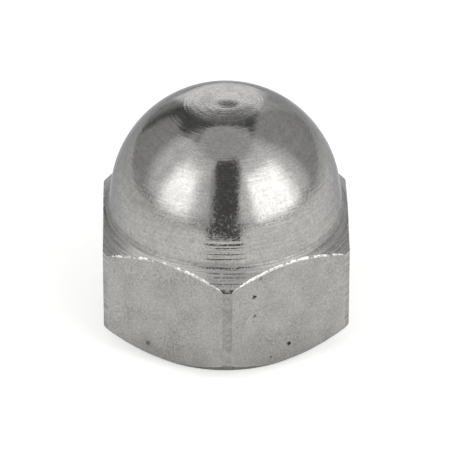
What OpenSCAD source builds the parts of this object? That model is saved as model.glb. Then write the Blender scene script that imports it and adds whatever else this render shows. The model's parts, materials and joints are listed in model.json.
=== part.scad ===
// Cap nut, turned from hexagon bar and tapped from below.
// A hexagon takes the spanner, and a dome closes the end of the thread.
// The origin is the centre of the bearing face, which lies in z = 0. +Z points to the crown.
// One corner of the hexagon points along -Y, so two of its flats face +X and -X.

/* [Hexagon] */
// Width across the flats, which is the spanner's size
across_flats = 17; // [13:0.5:22]
// Height of a flat at its middle, from the bearing face to the turned shoulder
flat_h = 8.7; // [5:0.1:12]
// What turning takes off the radius at each corner of the bar, leaving a narrow band there
corner_trim = 0.165; // [0.05:0.005:0.5]
// Slope of the shoulder above the flats, in degrees from level
shoulder_angle = 37; // [20:1:50]
// How far the bearing face's edge lies inside the middle of the flats
bearing_inset = 0.85; // [0.3:0.05:1.5]
// Slope of the chamfer that lifts the flats and corners off the bearing face, in degrees from level
bearing_chamfer_angle = 40; // [15:1:45]

/* [Dome] */
// Width of the shoulder at the middle of a flat, from the flat in to the dome
dome_inset = 0.5; // [0.4:0.05:1.5]
// How far the dome's widest circle lies above the shoulder
dome_lift = 0.35; // [0.2:0.05:2]
// How far the dome's wall leans out at its foot, measured on the radius
foot_flare = 0.18; // [0.05:0.01:0.3]
// Diameter of the flattened land on the crown
crown_land_d = 3.6; // [2.4:0.1:5]
// Diameter of the shallow cup that parting off leaves in the land
crown_cup_d = 1.7; // [0.6:0.1:2.2]
// Depth of that cup
crown_cup_depth = 0.12; // [0.05:0.01:0.3]

/* [Thread] */
// Nominal diameter of the thread
thread_d = 10; // [8:0.5:12]
// Pitch of the thread
thread_pitch = 1.5; // [0.75:0.25:2]
// Metal left between the drill's point and the land on the crown
crown_wall = 1.9; // [1:0.1:4]
// Point angle of the drill, in degrees
drill_point_angle = 118; // [90:2:140]
// How far the countersink's rim lies outside the thread, on the radius
mouth_margin = 0.4; // [0.1:0.05:0.8]
// Included angle of the countersink at the mouth, in degrees
mouth_angle = 120; // [90:5:130]

/* [Hidden] */

// Sides of a turned surface in the preview
turned_sides = 144;
// What a cutting shape reaches past the surface that it cuts
overrun = 1;
// What the wall's line crosses the dome's circle by, because shapes that only touch don't join
crossing = 0.002;

// Hexagon
flat_r = across_flats / 2;
corner_r = flat_r / cos(30);
turned_r = corner_r - corner_trim;
bearing_r = flat_r - bearing_inset;
bearing_chamfer_h = (turned_r - bearing_r) * tan(bearing_chamfer_angle);
shoulder_foot_z = flat_h - (turned_r - flat_r) * tan(shoulder_angle);

// Dome: the shoulder's cone would reach the dome's radius at shoulder_top_z
dome_r = flat_r - dome_inset;
shoulder_top_z = flat_h + dome_inset * tan(shoulder_angle);
dome_centre_z = shoulder_top_z + dome_lift;

// Wall: a straight line from its foot on the shoulder, which all but touches the dome's circle
foot_r = dome_r + foot_flare;
foot_z = flat_h + (flat_r - foot_r) * tan(shoulder_angle);
foot_drop = dome_centre_z - foot_z;
foot_reach = sqrt(foot_r * foot_r + foot_drop * foot_drop);
wall_line_r = dome_r - crossing;
wall_angle = acos(wall_line_r / foot_reach) - atan(foot_drop / foot_r);
wall_top_r = wall_line_r * cos(wall_angle);
wall_top_z = dome_centre_z + wall_line_r * sin(wall_angle);

// Crown
land_r = crown_land_d / 2;
land_z = dome_centre_z + sqrt(dome_r * dome_r - land_r * land_r);
cup_rim_r = crown_cup_d / 2;
cup_r = (cup_rim_r * cup_rim_r + crown_cup_depth * crown_cup_depth) / (2 * crown_cup_depth);

// Thread: the tapping drill leaves the minor diameter, five eighths of the thread's
// sharp height inside the nominal one
sharp_h = thread_pitch * sqrt(3) / 2;
minor_r = thread_d / 2 - sharp_h * 5 / 8;
mouth_r = thread_d / 2 + mouth_margin;
mouth_depth = (mouth_r - minor_r) / tan(mouth_angle / 2);
drill_tip_z = land_z - crown_wall;
drill_end_z = drill_tip_z - minor_r / tan(drill_point_angle / 2);

// Half section below the dome: bearing face, lower chamfer, corner band, shoulder and the wall
module shoulder_section() {
    polygon([
        [0, 0],
        [bearing_r, 0],
        [turned_r, bearing_chamfer_h],
        [turned_r, shoulder_foot_z],
        [foot_r, foot_z],
        [wall_top_r, wall_top_z],
        [0, wall_top_z]
    ]);
}

// Half section of the dome, with the land and its cup on the crown
module dome_section() {
    difference() {
        intersection() {
            translate([0, dome_centre_z]) circle(r = dome_r, $fn = turned_sides);
            square([dome_r + overrun, land_z]);
        }
        translate([0, land_z + cup_r - crown_cup_depth]) circle(r = cup_r, $fn = turned_sides);
    }
}

// Half section of the blind hole: countersunk mouth, wall at the minor diameter, drill point
module hole_section() {
    polygon([
        [0, -overrun],
        [mouth_r, -overrun],
        [mouth_r, 0],
        [minor_r, mouth_depth],
        [minor_r, drill_end_z],
        [0, drill_tip_z]
    ]);
}

// Everything that is turned, without its flats
module turned_blank() {
    rotate_extrude($fn = turned_sides)
        difference() {
            union() {
                shoulder_section();
                dome_section();
            }
            hole_section();
        }
}

// The bar that the nut is turned from, which leaves the flats
module hexagon_bar() {
    translate([0, 0, -overrun])
        rotate([0, 0, 30])
            cylinder(r = corner_r, h = land_z + 2 * overrun, $fn = 6);
}

module cap_nut() {
    color("silver")
        intersection() {
            turned_blank();
            hexagon_bar();
        }
}

cap_nut();
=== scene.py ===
# %% [markdown]
# A cap nut closes the end of a bolt: a hexagon for the spanner, and a dome over the thread.
# The real one is one piece of stainless steel. A lathe turns a hexagon bar to a dome and a
# sloping shoulder, parts it off at the crown, and then drills and taps it from below.
# This scene makes it the same way: a turned blank, six flats cut from it, and a drilled and
# tapped hole. It then gives each surface the finish that its tool left.

# %% Load the solid model that the scene is built around
import json
from math import acos, asin, atan2, cos, degrees, pi, radians, sin, sqrt, tan

import bmesh
import bpy
from mathutils import Matrix, Vector, noise


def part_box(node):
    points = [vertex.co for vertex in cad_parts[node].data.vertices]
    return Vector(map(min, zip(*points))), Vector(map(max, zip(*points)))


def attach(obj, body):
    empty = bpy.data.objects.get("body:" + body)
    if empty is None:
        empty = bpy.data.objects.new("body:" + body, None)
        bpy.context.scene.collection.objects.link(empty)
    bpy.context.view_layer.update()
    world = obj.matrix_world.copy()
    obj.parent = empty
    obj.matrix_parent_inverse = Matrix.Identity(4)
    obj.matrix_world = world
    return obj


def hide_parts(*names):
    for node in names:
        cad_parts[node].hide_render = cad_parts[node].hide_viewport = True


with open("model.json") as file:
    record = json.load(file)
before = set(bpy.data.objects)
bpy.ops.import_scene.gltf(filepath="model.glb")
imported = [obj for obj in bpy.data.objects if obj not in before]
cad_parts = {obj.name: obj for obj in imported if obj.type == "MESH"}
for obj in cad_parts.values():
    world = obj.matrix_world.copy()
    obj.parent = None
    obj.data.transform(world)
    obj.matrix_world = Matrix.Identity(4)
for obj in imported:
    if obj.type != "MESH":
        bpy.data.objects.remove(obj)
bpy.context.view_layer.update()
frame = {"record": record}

# %% [markdown]
# The main sizes are read from the solid, so the nut always matches it. The few that a box
# can't tell, such as the slope of the shoulder, are named here in millimetres. The mesh is
# made in millimetres too, and is turned to metres when it is done.

# %% Sizes of the nut, in millimetres
METRES_TO_MM = 1000
low, high = (corner * METRES_TO_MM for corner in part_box("cap_nut"))
thread_mount = next(m for m in frame["record"]["mounts"] if m["kind"] == "threaded_hole")

flat_r = high.x
turned_r = high.y
land_z = high.z
minor_r = thread_mount["dims"]["r_mm"]

flat_h = 8.7
shoulder_slope = radians(37)
bearing_r = flat_r - 0.85
bearing_slope = radians(40)
dome_r = flat_r - 0.5
dome_lift = 0.35
foot_r = dome_r + 0.18

bearing_corner_z = (turned_r - bearing_r) * tan(bearing_slope)
shoulder_foot_z = flat_h - (turned_r - flat_r) * tan(shoulder_slope)
dome_centre_z = flat_h + (flat_r - dome_r) * tan(shoulder_slope) + dome_lift
foot_z = flat_h + (flat_r - foot_r) * tan(shoulder_slope)
print(f"flats at {flat_r:.2f}, corners at {turned_r:.2f}, crown at {land_z:.2f} mm")

# %% [markdown]
# A turned shape is a half outline spun about its axis. The outline is a chain of edges in the
# XZ plane: straight runs between points, and arcs that the spin operator draws from the last
# vertex. Its corners are rounded with the bevel operator, working on vertices, because no
# cutting tool leaves a corner without a small radius.

# %% Outlines and turning
LATHE_STEPS = 480


def outline(bm, points):
    """Vertices at the points, each given as radius and height, with an edge between neighbours."""
    verts = [bm.verts.new((r, 0, z)) for r, z in points]
    for a, b in zip(verts, verts[1:]):
        bm.edges.new((a, b))
    return verts


def add_arc(bm, vert, centre, turn, steps):
    """Carries the outline on along an arc, anticlockwise where turn is above 0."""
    spun = bmesh.ops.spin(
        bm, geom=[vert], cent=(centre[0], 0, centre[1]), axis=(0, -1, 0), angle=turn,
        steps=steps, use_merge=False,
    )
    return spun["geom_last"][0]


def round_corner(bm, vert, radius, segments):
    """Rounds one corner of an outline to a true radius."""
    before, after = ((e.other_vert(vert).co - vert.co).normalized() for e in vert.link_edges)
    turn = pi - before.angle(after)
    bmesh.ops.bevel(
        bm, geom=[vert], offset=radius * tan(turn / 2), offset_type="OFFSET", segments=segments,
        profile=0.5, affect="VERTICES", material=-1, clamp_overlap=False,
    )


def turn_on_lathe(bm):
    """Spins the outline about the Z axis into a closed skin with its faces pointing outwards."""
    bmesh.ops.spin(
        bm, geom=bm.verts[:] + bm.edges[:], cent=(0, 0, 0), axis=(0, 0, 1), angle=2 * pi,
        steps=LATHE_STEPS, use_merge=True,
    )
    bmesh.ops.remove_doubles(bm, verts=bm.verts, dist=0.0005)
    bmesh.ops.recalc_face_normals(bm, faces=bm.faces)


# %% [markdown]
# The dome runs down into a wall that leans out a little, and the wall meets the shoulder in a
# corner with the small radius of the tool's nose. The wall's line touches the dome's circle, and
# two right-angled triangles on the dome's centre give the angle. At the other end, parting off
# leaves a nearly flat land on the crown, with a low pip where the last thread of metal let go.
# Polishing has rounded both, so every arc here touches its neighbours, and the reflections run
# on without a break. The pip is two equal arcs, one hollow and one round. It was rubbed down by
# hand, so it ends up a little off the axis.

# %% Turn the blank
foot_drop = dome_centre_z - foot_z
wall_angle = acos(dome_r / sqrt(foot_r ** 2 + foot_drop ** 2)) - atan2(foot_drop, foot_r)
print(f"the wall leans out by {degrees(wall_angle):.1f} degrees")

pip_r, pip_height = 1.25, 0.10
pip_arc_r = (pip_r ** 2 + pip_height ** 2) / (4 * pip_height)
pip_turn = asin(pip_r / 2 / pip_arc_r)
pip_foot_z = land_z - pip_height

land_arc_r = 17.5
land_centre_z = pip_foot_z - sqrt(land_arc_r ** 2 - pip_r ** 2)
pip_foot_angle = acos(pip_r / land_arc_r)

edge_r = 3.4
to_dome, to_land = dome_r - edge_r, land_arc_r - edge_r
between = dome_centre_z - land_centre_z
edge_lift = (to_land ** 2 - to_dome ** 2 - between ** 2) / (2 * between)
edge_centre_r = sqrt(to_dome ** 2 - edge_lift ** 2)
edge_angle = atan2(edge_lift, edge_centre_r)
land_angle = atan2(edge_lift + between, edge_centre_r)

blank = bmesh.new()
corners = outline(blank, [
    (0, 0),
    (bearing_r, 0),
    (turned_r, bearing_corner_z),
    (turned_r, shoulder_foot_z),
    (foot_r, foot_z),
    (dome_r * cos(wall_angle), dome_centre_z + dome_r * sin(wall_angle)),
])
dome_end = add_arc(blank, corners[-1], (0, dome_centre_z), edge_angle - wall_angle, 28)
land_start = add_arc(blank, dome_end, (edge_centre_r, dome_centre_z + edge_lift),
                     land_angle - edge_angle, 8)
pip_foot = add_arc(blank, land_start, (0, land_centre_z), pip_foot_angle - land_angle, 3)
pip_side = add_arc(blank, pip_foot, (pip_r, pip_foot_z + pip_arc_r), -pip_turn, 5)
pip_top = add_arc(blank, pip_side, (0, land_z - pip_arc_r), pip_turn, 5)
pip_top.co.x = 0

round_corner(blank, corners[1], 0.12, 3)
round_corner(blank, corners[2], 0.2, 3)
round_corner(blank, corners[3], 0.42, 5)
round_corner(blank, corners[4], 0.2, 4)
turn_on_lathe(blank)

pip_shift, shifted_r = Vector((0.16, 0.14, 0)), 2.8
for vert in blank.verts:
    if vert.co.z > dome_centre_z and vert.co.xy.length < shifted_r:
        vert.co += pip_shift * (1 - (vert.co.xy.length / shifted_r) ** 2) ** 2
print("turned blank:", len(blank.faces), "faces")

# %% [markdown]
# The flats are what is left of the bar. Six cuts take them from the blank, and each leaves an
# open edge that one flat face closes. On the sloping shoulder such a cut runs in a curve, which
# is the scalloped line that every turned nut has. A weight on each edge says how wide its
# rounding is to be: widest under the burr on the shoulder, hardly any beside the corner bands,
# and less and less towards the tips of the scallops, where two roundings meet.

# %% Cut the six flats
FLAT_FINISH = 1
for side in range(6):
    outward = Vector((cos(side * pi / 3), sin(side * pi / 3), 0))
    cut = bmesh.ops.bisect_plane(
        blank, geom=blank.verts[:] + blank.edges[:] + blank.faces[:], dist=0.0001,
        plane_co=outward * flat_r, plane_no=outward, clear_outer=True,
    )
    rim = [g for g in cut["geom_cut"] if isinstance(g, bmesh.types.BMEdge)]
    bmesh.ops.edgeloop_fill(blank, edges=rim, mat_nr=FLAT_FINISH)
bmesh.ops.recalc_face_normals(blank, faces=blank.faces)

widest_rounding = 0.13
weight = blank.edges.layers.float.new("bevel_weight_edge")
for face in blank.faces:
    face.smooth = face.material_index != FLAT_FINISH
    if face.material_index == FLAT_FINISH:
        for edge in face.edges:
            middle = (edge.verts[0].co + edge.verts[1].co) / 2
            upright = abs(edge.verts[0].co.z - edge.verts[1].co.z) > 1
            to_tip = min(max((turned_r - 0.15 - middle.xy.length) / 0.4, 0), 1)
            scallop = middle.z > shoulder_foot_z - 0.5
            edge[weight] = 0.35 if upright else 0.3 + 0.7 * to_tip if scallop else 0.5
print("edges to round:", sum(1 for e in blank.edges if e[weight] > 0))

# %% [markdown]
# The hole is made with two cutters, as on the machine: a countersinking drill, which leaves a
# plain wall and a pointed end, and then a tap. The tap is one tooth of the thread's outline
# swept along a helix by the spin operator, which can move what it turns along the axis. Its
# teeth start just inside the drilled wall, so each groove breaks through it cleanly, and its
# lead gets smaller towards the end, so the last turns fade out as a real tap's do.

# %% Drill
mouth_r = 5.4
mouth_slope = radians(60)
point_slope = radians(59)
drill_tip_z = land_z - 1.9
drill_end_z = drill_tip_z - minor_r / tan(point_slope)
overrun = 1.0

drill = bmesh.new()
outline(drill, [
    (0, -overrun),
    (mouth_r + overrun * tan(mouth_slope), -overrun),
    (minor_r, (mouth_r - minor_r) / tan(mouth_slope)),
    (minor_r, drill_end_z),
    (0, drill_tip_z),
])
turn_on_lathe(drill)

# %% Tap
pitch = 1.5
thread_r = 5.0
TAP_STEPS = 120
tap_lead_z = drill_end_z - 3.2
tap_end_z = drill_end_z - 0.8
tooth_base_r = minor_r - 0.05
root_half = pitch / 16
flank_half = root_half + (thread_r - tooth_base_r) * tan(radians(30))

tap = bmesh.new()
start_z = -2 * pitch
outline(tap, [
    (tooth_base_r, start_z - pitch / 2),
    (tooth_base_r, start_z - flank_half),
    ((tooth_base_r + thread_r) / 2, start_z - (flank_half + root_half) / 2),
    (thread_r, start_z - root_half),
    (thread_r, start_z + root_half),
    ((tooth_base_r + thread_r) / 2, start_z + (flank_half + root_half) / 2),
    (tooth_base_r, start_z + flank_half),
    (tooth_base_r, start_z + pitch / 2),
])
turns = round((tap_end_z - start_z) / pitch) + 2
bmesh.ops.spin(
    tap, geom=tap.verts[:] + tap.edges[:], cent=(0, 0, 0), axis=(0, 0, 1), angle=2 * pi * turns,
    dvec=(0, 0, pitch / TAP_STEPS), steps=TAP_STEPS * turns, use_merge=False,
)
bmesh.ops.remove_doubles(tap, verts=tap.verts, dist=0.001)
for end_z, direction in ((-overrun, -1), (tap_end_z, 1)):
    cut = bmesh.ops.bisect_plane(
        tap, geom=tap.verts[:] + tap.edges[:] + tap.faces[:], dist=0.0001,
        plane_co=(0, 0, end_z), plane_no=(0, 0, direction), clear_outer=True,
    )
    rim = [g for g in cut["geom_cut"] if isinstance(g, bmesh.types.BMEdge)]
    bmesh.ops.edgeloop_fill(tap, edges=rim, mat_nr=0)
for vert in tap.verts:
    run_out = max(0, vert.co.z - tap_lead_z) / (tap_end_z - tap_lead_z)
    limit_r = thread_r + (tooth_base_r - thread_r) * run_out
    radius = vert.co.xy.length
    if radius > limit_r:
        vert.co.x *= limit_r / radius
        vert.co.y *= limit_r / radius
bmesh.ops.recalc_face_normals(tap, faces=tap.faces)
print("tap:", len(tap.faces), "faces,", turns, "turns, height",
      round(max(v.co.z for v in tap.verts), 2))

# %% [markdown]
# The Bevel modifier rounds the edges by their weights, and a Boolean modifier takes each cutter
# out of the blank. The manifold solver is quick and exact enough here, because all three skins
# are closed. Each modifier is made real at once, so the result is a plain mesh.

# %% Helpers for pieces and modifiers
THREAD_FINISH = 2
BURR_FINISH = 3


def shape(bm, name):
    """A mesh object made from a bmesh, which is then freed, and linked to the scene."""
    mesh = bpy.data.meshes.new(name)
    bm.to_mesh(mesh)
    bm.free()
    piece = bpy.data.objects.new(name, mesh)
    bpy.context.scene.collection.objects.link(piece)
    return piece


def make_real(piece):
    """Turns what the modifiers make of a piece into its mesh."""
    depsgraph = bpy.context.evaluated_depsgraph_get()
    result = bpy.data.meshes.new_from_object(piece.evaluated_get(depsgraph))
    piece.modifiers.clear()
    piece.data = result


# %% Round the edges and cut the hole
nut = shape(blank, "nut")
for finish in ("turned steel", "satin flats", "cut thread", "bright burr"):
    nut.data.materials.append(bpy.data.materials.new(finish))
rounding = nut.modifiers.new("rounding", "BEVEL")
rounding.limit_method = "WEIGHT"
rounding.width = widest_rounding
rounding.segments = 3
rounding.material = BURR_FINISH
rounding.use_clamp_overlap = False
make_real(nut)

for cutter_mesh, name in ((drill, "drill"), (tap, "tap")):
    for face in cutter_mesh.faces:
        face.material_index = THREAD_FINISH
        face.smooth = True
    cutter = shape(cutter_mesh, name)
    for material in nut.data.materials:
        cutter.data.materials.append(material)
    cutting = nut.modifiers.new("cut", "BOOLEAN")
    cutting.operation = "DIFFERENCE"
    cutting.solver = "MANIFOLD"
    cutting.object = cutter
    make_real(nut)
    bpy.data.objects.remove(cutter)
print("nut:", len(nut.data.polygons), "faces")

# %% [markdown]
# Turning pushes a thin ragged lip of metal over the upper edge of each flat. It faces the lamps
# from nearly everywhere, so it is the brightest line on the nut. Noise lifts the rounding's
# vertices by a few hundredths of a millimetre, and a slower noise decides where the lip has
# broken away and leaves the plain rounded edge.

# %% Raise the burr
burr_height = 0.055
strip, elsewhere = [], set()
for face in nut.data.polygons:
    if face.material_index == BURR_FINISH and face.center.z > shoulder_foot_z + 0.05:
        strip.append(face)
    else:
        elsewhere.update(face.vertices)
for index in {v for face in strip for v in face.vertices} - elsewhere:
    vert = nut.data.vertices[index]
    ragged = noise.noise(vert.co * 2.3) + 0.9 * noise.noise(vert.co * 6.3)
    vert.co.z += burr_height * min(max(ragged + 0.3, 0), 1)

for face in nut.data.polygons:
    if face.material_index == BURR_FINISH:
        kept = noise.noise(face.center * 1.1 + Vector((3.1, 0, 0))) + 0.8 * noise.noise(face.center * 3.7)
        gap = flat_r - max(face.center.dot((cos(i * pi / 3), sin(i * pi / 3), 0)) for i in range(6))
        if face.center.z <= shoulder_foot_z + 0.05 or kept < 7 * gap - 0.5:
            face.material_index = 0
print("burr:", sum(1 for f in nut.data.polygons if f.material_index == BURR_FINISH), "faces")

# %% [markdown]
# Smooth shading blends the directions of neighbouring faces. A big face beside a thin rounding
# would bend with it, so a Weighted Normal modifier lets the big faces decide. On the shoulder's
# cone the true direction is known, and the corners of its faces are simply given it.

# %% Finish the mesh
nut.data.set_sharp_from_angle(angle=radians(32))
weighting = nut.modifiers.new("weighting", "WEIGHTED_NORMAL")
weighting.mode = "FACE_AREA"
weighting.weight = 90
weighting.keep_sharp = True
make_real(nut)

directions = [loop.vector.copy() for loop in nut.data.corner_normals]
for face in nut.data.polygons:
    middle = face.center
    on_cone = foot_r + 0.1 < middle.xy.length < turned_r and middle.z > shoulder_foot_z
    if face.material_index == 0 and on_cone:
        for corner in face.loop_indices:
            spot = nut.data.vertices[nut.data.loops[corner].vertex_index].co.xy
            if foot_r + 0.1 < spot.length < turned_r - 0.12:
                outward = spot.normalized() * sin(shoulder_slope)
                directions[corner] = Vector((outward.x, outward.y, cos(shoulder_slope)))
nut.data.normals_split_custom_set(directions)
nut.data.transform(Matrix.Scale(1 / METRES_TO_MM, 4))
nut.data.name = "nut"
print("nut:", sum(len(p.vertices) - 2 for p in nut.data.polygons), "triangles")

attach(nut, "root")
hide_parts("cap_nut")

# %% [markdown]
# Every finish is built from nodes on Object coordinates, which are metres, so a pattern of so
# many millimetres gets its scale from that size.

# %% Helpers for the finishes
def srgb(code):
    """A hex colour as it looks on a screen, turned to the linear values that Blender works in."""
    parts = [int(code[i:i + 2], 16) / 255 for i in (1, 3, 5)]
    return [p / 12.92 if p <= 0.04045 else ((p + 0.055) / 1.055) ** 2.4 for p in parts] + [1]


def add(tree, kind, inputs=None, **settings):
    """Adds a node, with settings by name, and inputs that are values or other nodes' outputs."""
    node = tree.nodes.new(kind)
    for name, value in settings.items():
        setattr(node, name, value)
    for socket, value in (inputs or {}).items():
        if isinstance(value, bpy.types.NodeSocket):
            tree.links.new(value, node.inputs[socket])
        else:
            node.inputs[socket].default_value = value
    return node


def maths(tree, operation, first, second=0.0):
    """One sum on two numbers or outputs."""
    return add(tree, "ShaderNodeMath", {0: first, 1: second}, operation=operation).outputs[0]


def fade(tree, value, start, end, low=0.0, high=1.0):
    """Runs softly from low to high while the value goes from start to end."""
    return add(tree, "ShaderNodeMapRange", {0: value, 1: start, 2: end, 3: low, 4: high},
               interpolation_type="SMOOTHSTEP").outputs[0]


def lumps(tree, place, size, detail=2.0, shift=0.0):
    """Noise with lumps of about this many millimetres in X, Y and Z. It is 0.5 on average."""
    per_metre = [METRES_TO_MM / s for s in (size if isinstance(size, tuple) else (size,) * 3)]
    scaled = add(tree, "ShaderNodeVectorMath", {0: place, 1: per_metre, 2: (shift,) * 3},
                 operation="MULTIPLY_ADD").outputs[0]
    return add(tree, "ShaderNodeTexNoise", {"Vector": scaled, "Scale": 1.0, "Detail": detail}).outputs["Fac"]


def blend(tree, amount, first, second):
    """Mixes two colours, each a hex code or an output."""
    pick = [srgb(c) if isinstance(c, str) else c for c in (first, second)]
    return add(tree, "ShaderNodeMix", {"Factor": amount, 6: pick[0], 7: pick[1]}, data_type="RGBA").outputs[2]


def start_finish(material):
    """An empty node tree with the Object coordinates."""
    material.use_nodes = True
    material.node_tree.nodes.clear()
    return material.node_tree, add(material.node_tree, "ShaderNodeTexCoord").outputs["Object"]


def metal(tree, colour, roughness, normal):
    """Bare metal: the colour tints what it mirrors, and it has no other colour of its own."""
    shader = add(tree, "ShaderNodeBsdfPrincipled", {
        "Base Color": colour, "Metallic": 1.0, "Roughness": roughness, "Normal": normal,
        "Specular Tint": srgb("#C0C1C5")})
    add(tree, "ShaderNodeOutputMaterial", {"Surface": shader.outputs[0]})


# %% [markdown]
# Turned steel keeps the marks of its making. The upper dome was polished and mirrors the lamps
# with soft edges, which waver, because a hand held it to the wheel. Lower down it is duller and speckled, and single grooves run round the foot of
# the dome and over the shoulder. A groove follows its circle, so all marks are drawn on one
# number that is the same all round each circle: the height less the radius.

# %% Turned steel
tree, place = start_finish(nut.data.materials[0])
axes = add(tree, "ShaderNodeSeparateXYZ", {0: place})
level = add(tree, "ShaderNodeCombineXYZ", {0: axes.outputs[0], 1: axes.outputs[1]}).outputs[0]
radius = add(tree, "ShaderNodeVectorMath", {0: level}, operation="LENGTH").outputs["Value"]
circle = maths(tree, "SUBTRACT", axes.outputs[2], radius)
round_place = add(tree, "ShaderNodeCombineXYZ",
                  {0: axes.outputs[0], 1: axes.outputs[1], 2: circle}).outputs[0]

dull = fade(tree, axes.outputs[2], 0.0150, 0.0105)
on_cone = fade(tree, circle, 0.0008, 0.0004)
broad_marks = lumps(tree, round_place, (3.0, 3.0, 0.30), 0.0)
fine_marks = lumps(tree, round_place, (1.6, 1.6, 0.17), 0.0, 5.0)
marks = maths(tree, "ADD", broad_marks, fine_marks)
speckle = lumps(tree, place, 0.17, 1.0)
cloud = lumps(tree, place, 2.4, 3.0)

on_crown = fade(tree, radius, 0.0034, 0.0020)
mark_depth = maths(tree, "ADD", fade(tree, on_cone, 0.0, 1.0, 0.12, 0.25), maths(tree, "MULTIPLY", on_crown, 0.12))
wave_depth = fade(tree, axes.outputs[2], 0.0145, 0.0160, 0.35, 1.0)
waves = add(tree, "ShaderNodeBump", {"Strength": wave_depth, "Distance": 0.00008,
                                     "Height": lumps(tree, place, 2.8, 1.0, 14.0)}).outputs[0]
mark_bump = add(tree, "ShaderNodeBump", {"Strength": mark_depth, "Distance": 0.00003, "Height": marks,
                                         "Normal": waves}).outputs[0]

# Each groove: its place as height less radius, its half width and its depth in millimetres, and
# how far it runs to either side before it fades out
grooves = ((2.72, 0.20, 0.013, 1.7), (2.38, 0.09, 0.010, 0.6), (1.85, 0.08, 0.012, 1.3),
           (1.44, 0.09, 0.015, 1.4), (0.60, 0.10, 0.016, 1.7),
           (-0.02, 0.08, 0.010, 1.2), (-0.45, 0.09, 0.004, 1.5),
           (-1.05, 0.09, 0.011, 0.8))
groove_height = None
for number, (where, half_width, depth, kept) in enumerate(grooves):
    away = maths(tree, "ABSOLUTE", maths(tree, "SUBTRACT", circle, where / METRES_TO_MM))
    trough = fade(tree, away, half_width / METRES_TO_MM, 0.0, 0.0, -depth)
    wander = maths(tree, "MULTIPLY", lumps(tree, round_place, (1.6, 1.6, 4.0), 1.0, number * 7.3 + 1.0), 0.0012)
    aside = maths(tree, "ADD", maths(tree, "ABSOLUTE", axes.outputs[0]), wander)
    broken = fade(tree, aside, (kept + 1.1) / METRES_TO_MM, kept / METRES_TO_MM)
    trough = maths(tree, "MULTIPLY", trough, broken)
    groove_height = trough if groove_height is None else maths(tree, "ADD", groove_height, trough)
hairlines = fade(tree, lumps(tree, round_place, (1.1, 1.1, 0.10), 0.0, 11.0), 0.6, 0.72, 0.0, 0.0012)
groove_height = maths(tree, "ADD", groove_height, hairlines)
groove_bump = add(tree, "ShaderNodeBump", {"Strength": 1.0, "Distance": 0.001, "Height": groove_height,
                                           "Normal": mark_bump}).outputs[0]
grain_depth = maths(tree, "ADD", fade(tree, dull, 0.0, 1.0, 0.05, 0.12), maths(tree, "MULTIPLY", on_crown, 0.2))
normal = add(tree, "ShaderNodeBump", {"Strength": grain_depth, "Distance": 0.00003, "Height": speckle,
                                      "Normal": groove_bump}).outputs[0]

frosted = fade(tree, lumps(tree, place, 0.17, 2.0, 3.0), 0.40, 0.75)
frosting = maths(tree, "MULTIPLY", frosted, fade(tree, dull, 0.0, 1.0, 0.11, 0.30))
gloss = fade(tree, dull, 0.0, 1.0, 0.09, 0.11)
from_foot = maths(tree, "ABSOLUTE", maths(tree, "SUBTRACT", circle, (foot_z - foot_r) / METRES_TO_MM))
at_foot = fade(tree, from_foot, 0.0004, 0.0002, 0.0, 0.35)
roughness = maths(tree, "ADD", maths(tree, "ADD", gloss, frosting), fade(tree, cloud, 0.3, 0.7, -0.02, 0.03))
roughness = maths(tree, "ADD", roughness, at_foot)
roughness = maths(tree, "ADD", roughness, maths(tree, "MULTIPLY", on_crown, 0.09))
dark_specks = fade(tree, speckle, 0.58, 0.34)
speck_share = fade(tree, dull, 0.0, 1.0, 0.35, 0.4)
colour = blend(tree, maths(tree, "MULTIPLY", dark_specks, speck_share), "#AFAEAC", "#8A8986")
colour = blend(tree, fade(tree, lumps(tree, place, 0.6, 2.0, 9.0), 0.35, 0.65, 0.0, 0.26), colour, "#8A8986")
rings = lumps(tree, round_place, (4.0, 4.0, 0.15), 1.0, 4.0)
ring_share = fade(tree, on_cone, 0.0, 1.0, 0.14, 1.0)
colour = blend(tree, maths(tree, "MULTIPLY", fade(tree, rings, 0.58, 0.36), ring_share), colour, "#73726F")
# Painted shade: a dark dashed line along the groove at the dome's foot, only within a few millimetres of the front and
# back, where it stands in for the dark wall that the groove mirrors.
from_centre = maths(tree, "ADD", maths(tree, "ABSOLUTE", axes.outputs[0]), maths(tree, "MULTIPLY", broad_marks, 0.0008))
at_line = fade(tree, maths(tree, "ABSOLUTE", maths(tree, "SUBTRACT", circle, 0.00060)), 0.00018, 0.00004)
painted_groove_shade = maths(tree, "MULTIPLY", at_line, fade(tree, from_centre, 0.0028, 0.0014, 0.0, 1.0))
painted_groove_shade = maths(tree, "MULTIPLY", painted_groove_shade, fade(tree, lumps(tree, place, 0.13, 2.0, 6.0), 0.4, 0.55))
aside = maths(tree, "ABSOLUTE", axes.outputs[0])
# The shoulder's cone is lighter all round, and most within a few millimetres of the front and back: partly its own
# lighter tone and partly painted light.
colour = blend(tree, maths(tree, "MULTIPLY", on_cone, fade(tree, aside, 0.008, 0.003, 0.33, 0.55)), colour, "#D6D5D2")
colour = blend(tree, painted_groove_shade, colour, "#4E4D4B")
# Painted shade: the corner bands are darker in mottled patches, most near the front and back, where they stand in for
# the shaded floor that the bands mirror.
uneven = fade(tree, lumps(tree, place, 0.25, 3.0, 2.0), 0.3, 0.7, 0.7, 1.0)
in_front = fade(tree, aside, 0.0075, 0.0040, 0.2, 1.0)
band_painted_shade = maths(tree, "MULTIPLY", fade(tree, radius, 0.00958, 0.00963), maths(tree, "MULTIPLY", uneven, in_front))
metal(tree, blend(tree, band_painted_shade, colour, "#858481"), roughness, normal)

# %% [markdown]
# The flats keep the skin of the drawn bar. It is a satin grey with a fine pitted grain, in
# slightly uneven patches, and a few small pits have caught rust. Each pit is a ball in space
# that the flat cuts through, so it stays where it is seen from any side.

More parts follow.
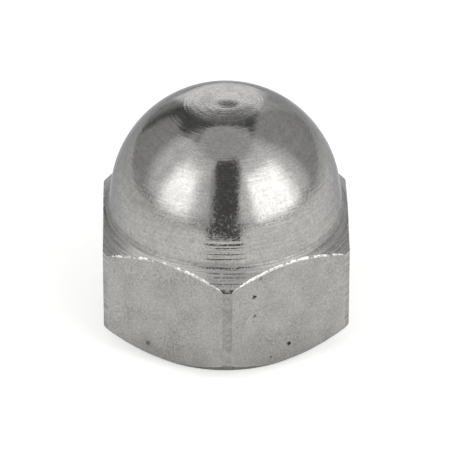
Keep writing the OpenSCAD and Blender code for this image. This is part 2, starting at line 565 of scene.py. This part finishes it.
# %% Satin flats
tree, place = start_finish(nut.data.materials[1])
grain = lumps(tree, place, 0.13, 3.0)
patches = lumps(tree, place, 1.6, 4.0)
worn = fade(tree, lumps(tree, place, 2.2, 3.0, 8.0), 0.47, 0.62)
colour = blend(tree, fade(tree, patches, 0.35, 0.65), "#A4A3A1", "#9C9B98")
colour = blend(tree, fade(tree, grain, 0.5, 0.75, 0.0, 0.4), colour, "#C6C5C2")
fleck_share = fade(tree, worn, 0.0, 1.0, 0.24, 0.55)
flecks = maths(tree, "MULTIPLY", fade(tree, grain, 0.52, 0.27), fleck_share)
colour = blend(tree, flecks, colour, "#6E6D6A")

# Each pit: its place, its radius and how dark it is
pits = (((1.864, -8.739, 6.838), 0.15, 1.0), ((1.904, -8.716, 5.252), 0.11, 0.8),
        ((4.284, -7.342, 2.035), 0.17, 1.0), ((3.031, -8.065, 1.375), 0.10, 0.7),
        ((2.307, -8.483, 8.140), 0.16, 0.45), ((-5.439, -6.675, 1.664), 0.2, 0.6))
edge_wobble = fade(tree, lumps(tree, place, 0.15, 2.0), 0.3, 0.7, -0.00005, 0.00005)
rust = None
for where, size, strength in pits:
    from_middle = add(tree, "ShaderNodeVectorMath", {0: place, 1: [c / METRES_TO_MM for c in where]},
                      operation="DISTANCE").outputs["Value"]
    reach = maths(tree, "ADD", from_middle, edge_wobble)
    mark = fade(tree, reach, (size + 0.04) / METRES_TO_MM, size / 2 / METRES_TO_MM, 0.0, strength)
    rust = mark if rust is None else maths(tree, "MAXIMUM", rust, mark)
colour = blend(tree, rust, colour, "#3A2A20")
dent = add(tree, "ShaderNodeBump", {"Strength": 0.5, "Distance": 0.00004, "Height": maths(tree, "MULTIPLY", rust, -1.0)}).outputs[0]
normal = add(tree, "ShaderNodeBump", {"Strength": 0.3, "Distance": 0.00003, "Height": grain, "Normal": dent}).outputs[0]
metal(tree, colour, fade(tree, patches, 0.3, 0.7, 0.38, 0.46), normal)

# %% Cut thread
tree, place = start_finish(nut.data.materials[2])
chatter = lumps(tree, place, (0.3, 0.3, 0.3), 3.0)
normal = add(tree, "ShaderNodeBump", {"Strength": 0.2, "Distance": 0.00003, "Height": chatter}).outputs[0]
metal(tree, blend(tree, chatter, "#A5A4A2", "#92918E"), fade(tree, chatter, 0.3, 0.7, 0.25, 0.35), normal)

# %% [markdown]
# The burr is fresh torn metal with its own small dents. Its colour is lighter than the rest, partly for the fresh metal
# and partly as a painted highlight along the lip.

# %% Bright burr
tree, place = start_finish(nut.data.materials[3])
torn = lumps(tree, place, 0.18, 1.0)
normal = add(tree, "ShaderNodeBump", {"Strength": 0.8, "Distance": 0.00004, "Height": torn}).outputs[0]
metal(tree, blend(tree, fade(tree, torn, 0.35, 0.65), "#B4B3B0", "#D9D8D5"), 0.28, normal)

# %% Studio floor
floor_bm = bmesh.new()
bmesh.ops.create_grid(floor_bm, x_segments=1, y_segments=1, size=3)
bmesh.ops.translate(floor_bm, verts=floor_bm.verts, vec=(0, 0, -0.00002))
floor = shape(floor_bm, "floor")
paper = bpy.data.materials.new("white paper")
paper.use_nodes = True
tree = paper.node_tree
tree.nodes.clear()
path = add(tree, "ShaderNodeLightPath")
straight = maths(tree, "MAXIMUM", path.outputs["Is Camera Ray"], path.outputs["Is Transmission Ray"])
floor_place = add(tree, "ShaderNodeTexCoord").outputs["Object"]
# What the metal mirrors of the floor is painted light: a pool of light in front at the right, and painted shadow round
# the nut's foot, where the mirrored glow fades out.
from_pool = add(tree, "ShaderNodeVectorMath", {0: floor_place, 1: (0.045, -0.05, 0)}, operation="DISTANCE").outputs["Value"]
from_axis = add(tree, "ShaderNodeVectorMath", {0: floor_place}, operation="LENGTH").outputs["Value"]
painted_pool_and_shadow = maths(tree, "MULTIPLY", fade(tree, from_pool, 0.06, 0.16, 1.0, 0.3), fade(tree, from_axis, 0.009, 0.013, 0.0, 1.0))
mirrored = maths(tree, "MULTIPLY", path.outputs["Is Glossy Ray"], painted_pool_and_shadow)
glow = maths(tree, "MULTIPLY", maths(tree, "MAXIMUM", straight, mirrored), 0.5)
diffuse = add(tree, "ShaderNodeBsdfDiffuse", {"Color": srgb("#E6E6E4")}).outputs[0]
emission = add(tree, "ShaderNodeEmission", {"Color": srgb("#FFFFFF"), "Strength": glow}).outputs[0]
surface = add(tree, "ShaderNodeAddShader", {0: diffuse, 1: emission}).outputs[0]
add(tree, "ShaderNodeOutputMaterial", {"Surface": surface})
floor.data.materials.append(paper)

# %% [markdown]
# A metal shows what stands round it, so its lighting is a map of the room. The room is drawn in
# the world as soft panels on a dark wall: a broad one with a hot middle on either side, one
# behind and the ceiling. Azimuth is counted from the camera's side, to the right. Each panel is
# what lies inside a few straight edges on that map. Between the two front panels the wall stays
# dark, where the camera stands, and that is the dark band down the dome.

# %% Room
world = bpy.data.worlds.new("studio")
bpy.context.scene.world = world
world.use_nodes = True
tree = world.node_tree
tree.nodes.clear()
towards = add(tree, "ShaderNodeTexCoord").outputs["Generated"]
axes = add(tree, "ShaderNodeSeparateXYZ", {0: towards})
azimuth = maths(tree, "ARCTAN2", axes.outputs[0], maths(tree, "MULTIPLY", axes.outputs[1], -1.0))
elevation = maths(tree, "ARCSINE", axes.outputs[2])


def panel(middle, strength, *edges):
    """A soft bright panel, which ends at its edges. Each edge is four numbers in degrees: the sum of
    the first times the azimuth and the second times the elevation is above the third inside the
    panel, and the light fades out over the fourth."""
    across = maths(tree, "SUBTRACT", azimuth, radians(middle))
    across = add(tree, "ShaderNodeMath", {0: across, 1: pi, 2: -pi}, operation="WRAP").outputs[0]
    light = strength
    for by_azimuth, by_elevation, end, soft in edges:
        reach = maths(tree, "ADD", maths(tree, "MULTIPLY", across, by_azimuth),
                      maths(tree, "MULTIPLY", elevation, by_elevation))
        light = maths(tree, "MULTIPLY", light, fade(tree, reach, radians(end - soft), radians(end)))
    return light


dark_wall = 0.13
panels = (
    panel(0, 0.36, (1, 0, -138, 8), (0.65, -1, -124, 9), (-1, 0, 15.5, 3), (-1, -0.35, 0.5, 3), (0, 1, 0, 3), (0, -1, -66, 4)),
    panel(0, 0.5, (1, 0.6, -74, 24), (-1, -0.15, 19, 9), (0, 1, 14, 14), (0, -1, -62, 10)),
    panel(0, 1.45, (1, 0, -62, 20), (-1, 0, 46, 18), (0, 1, 14, 22), (0, -1, -38, 22)),
    panel(0, 0.39, (1, 0, 15, 2), (1, -0.4, 3, 2), (-1, 0, -150, 25), (-0.5, -1, -119, 12), (0, 1, 0, 3), (0, -1, -66, 4)),
    panel(0, 0.58, (1, -0.25, 10, 4), (-1, 0, -88, 20), (0, 1, 10, 10), (0, -1, -60, 12)),
    panel(0, 1.6, (1, 0, 34, 10), (-1, 0, -66, 22), (0, 1, 6, 10), (0, -1, -41, 12)),
    panel(180, 0.36, (1, 0, -20, 12), (-1, -0.52, -28, 14), (0, 1, 0, 4), (0, -1, -34, 9)),
    panel(180, 0.13, (1, 0, -12, 8), (-1, 0, -12, 8), (0, 1, 36, 8), (0, -1, -60, 8)),
    panel(180, 1.15, (1, 0, -10, 8), (-1, 0, -14, 8), (0, 1, 2, 8), (0, -1, -30.5, 7)),
    fade(tree, elevation, radians(66.5), radians(70), 0.0, 0.54),
)
light = dark_wall
for wall_panel in panels:
    light = maths(tree, "ADD", light, wall_panel)
background = add(tree, "ShaderNodeBackground", {"Color": srgb("#FFFFFF"), "Strength": light})
add(tree, "ShaderNodeOutputWorld", {"Surface": background.outputs[0]})
bpy.context.scene.view_settings.view_transform = "Standard"
print("room: a dark wall and", len(panels), "panels")

# %% [markdown]
# The dark band ends in a crisp edge near the dome's foot. A card does that: it stands on the
# floor in front of the nut, below the camera's view. It is seen in reflections only, so it is a painted dark
# reflection: a dimly glowing sheet that casts no shadow and lights nothing.

# %% Dark card in front
card_bm = bmesh.new()
bmesh.ops.create_grid(card_bm, x_segments=1, y_segments=1, size=0.5)
bmesh.ops.transform(card_bm, verts=card_bm.verts, matrix=Matrix.Translation((-0.0015, -0.055, 0.007))
                    @ Matrix.Rotation(radians(90), 4, "X") @ Matrix.Diagonal((0.0293, 0.014, 1, 1)))
card = shape(card_bm, "dark card")
card.visible_camera = card.visible_diffuse = card.visible_shadow = False
dark_reflection_card = bpy.data.materials.new("painted dark reflection")
dark_reflection_card.use_nodes = True
tree = dark_reflection_card.node_tree
tree.nodes.clear()
# The card's dim glow is the painted dark reflection.
card_emission = add(tree, "ShaderNodeEmission", {"Color": srgb("#FFFFFF"), "Strength": 0.13}).outputs[0]
add(tree, "ShaderNodeOutputMaterial", {"Surface": card_emission})
card.data.materials.append(dark_reflection_card)


def direction(azimuth, elevation):
    """A unit vector: azimuth in degrees to the right of the camera's side, elevation above level."""
    a, e = radians(azimuth), radians(elevation)
    return Vector((sin(a) * cos(e), -cos(a) * cos(e), sin(e)))


# %% Camera
aim = Vector((0.00004, 0, 0.0069))
camera_data = bpy.data.cameras.new("camera")
camera_data.sensor_width = 36
camera_data.lens = 392.6
camera = bpy.data.objects.new("camera", camera_data)
back = direction(-0.773, 33.336)
camera.location = aim + back * 0.3433
camera.rotation_euler = back.to_track_quat("Z", "Y").to_euler()
bpy.context.scene.collection.objects.link(camera)
bpy.context.scene.camera = camera
